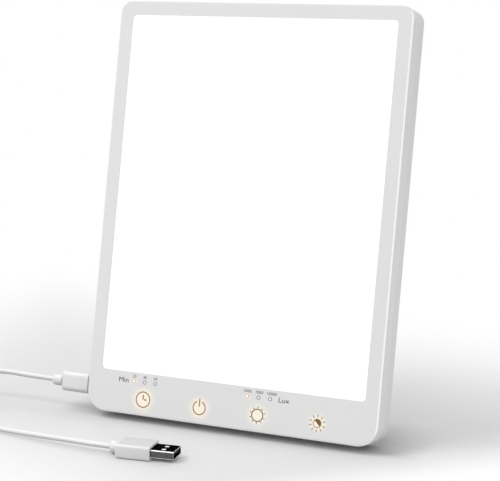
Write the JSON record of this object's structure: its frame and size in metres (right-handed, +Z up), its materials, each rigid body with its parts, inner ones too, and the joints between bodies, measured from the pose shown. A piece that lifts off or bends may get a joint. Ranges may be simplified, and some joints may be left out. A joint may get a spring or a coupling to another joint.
{
  "type": "light therapy lamp",
  "caption": "Thin leaning light panel with a lit opal window, touch keys on its lower border, a fold-out rear stand and a white USB lead plugged into its left side.",
  "frame": {"origin": "on the surface that the lamp stands on, under the middle of the lamp's own box (lead left out)", "axes": "+Z up, +X to the lamp's left as it faces you (the viewer's right), +Y towards its back; the lit face looks along -Y"},
  "size_m": [0.2836, 0.1504, 0.2392],
  "materials": {
    "housing_white": "satin moulded white plastic",
    "opal_diffuser": "opal acrylic, lit evenly from behind",
    "clear_acrylic": "clear polished sheet",
    "reflector_white": "white film",
    "tray_aluminium": "pressed sheet, satin",
    "strip_board": "white solder mask",
    "led_package": "yellow phosphor",
    "lead_insulation": "black wire insulation",
    "circuit_board": "green solder mask",
    "component_black": "black moulding",
    "connector_cream": "cream nylon",
    "spring_steel": "bright spring wire and sheet",
    "indicator_acrylic": "milky acrylic",
    "screw_steel": "zinc plated",
    "socket_steel": "plated sheet",
    "plug_steel": "bright plated sheet",
    "plug_white": "soft satin moulding",
    "pin_steel": "ground pin",
    "foot_rubber": "grey rubber",
    "cable_white": "satin white sheath",
    "tie_white": "woven strap",
    "contact_gold": "gold plated"
  },
  "bodies": {
    "lamp": {"front_frame": "housing_white", "back_cover": "housing_white", "diffuser": "opal_diffuser", "light_guide": "clear_acrylic", "reflector_sheet": "reflector_white", "light_tray": "tray_aluminium", "led_strip_left": "strip_board", "led_strip_right": "strip_board", "strip_leds_left": "led_package", "strip_leds_right": "led_package", "strip_lead_left": "lead_insulation", "strip_lead_right": "lead_insulation", "main_board": "circuit_board", "board_parts": "component_black", "lead_connectors": "connector_cream", "touch_springs": "spring_steel", "indicator_lights": "indicator_acrylic", "cover_screws": "screw_steel", "tray_screws": "screw_steel", "board_screws": "screw_steel", "power_socket": "socket_steel", "socket_tongue": "component_black", "lamp_plug_tip": "plug_steel", "lamp_plug_body": "plug_white", "lamp_plug_neck": "plug_white", "hinge_pin": "pin_steel", "hinge_washers": "spring_steel", "foot_left": "foot_rubber", "foot_right": "foot_rubber", "lamp_cable": "cable_white", "cable_coil": "cable_white", "coil_tie": "tie_white", "usb_cable": "cable_white", "usb_neck": "plug_white", "usb_body": "plug_white", "usb_shell": "plug_steel", "usb_tongue": "component_black", "usb_contacts": "contact_gold"},
    "stand": {"stand": "housing_white", "stand_pad": "foot_rubber"}
  },
  "joints": [
    {"name": "stand_hinge", "type": "hinge", "parent": "lamp", "child": "stand", "pos_m": [0, -0.02165, 0.03027], "axis": [1, 0, 0], "range_deg": [0, 100.17]}
  ]
}
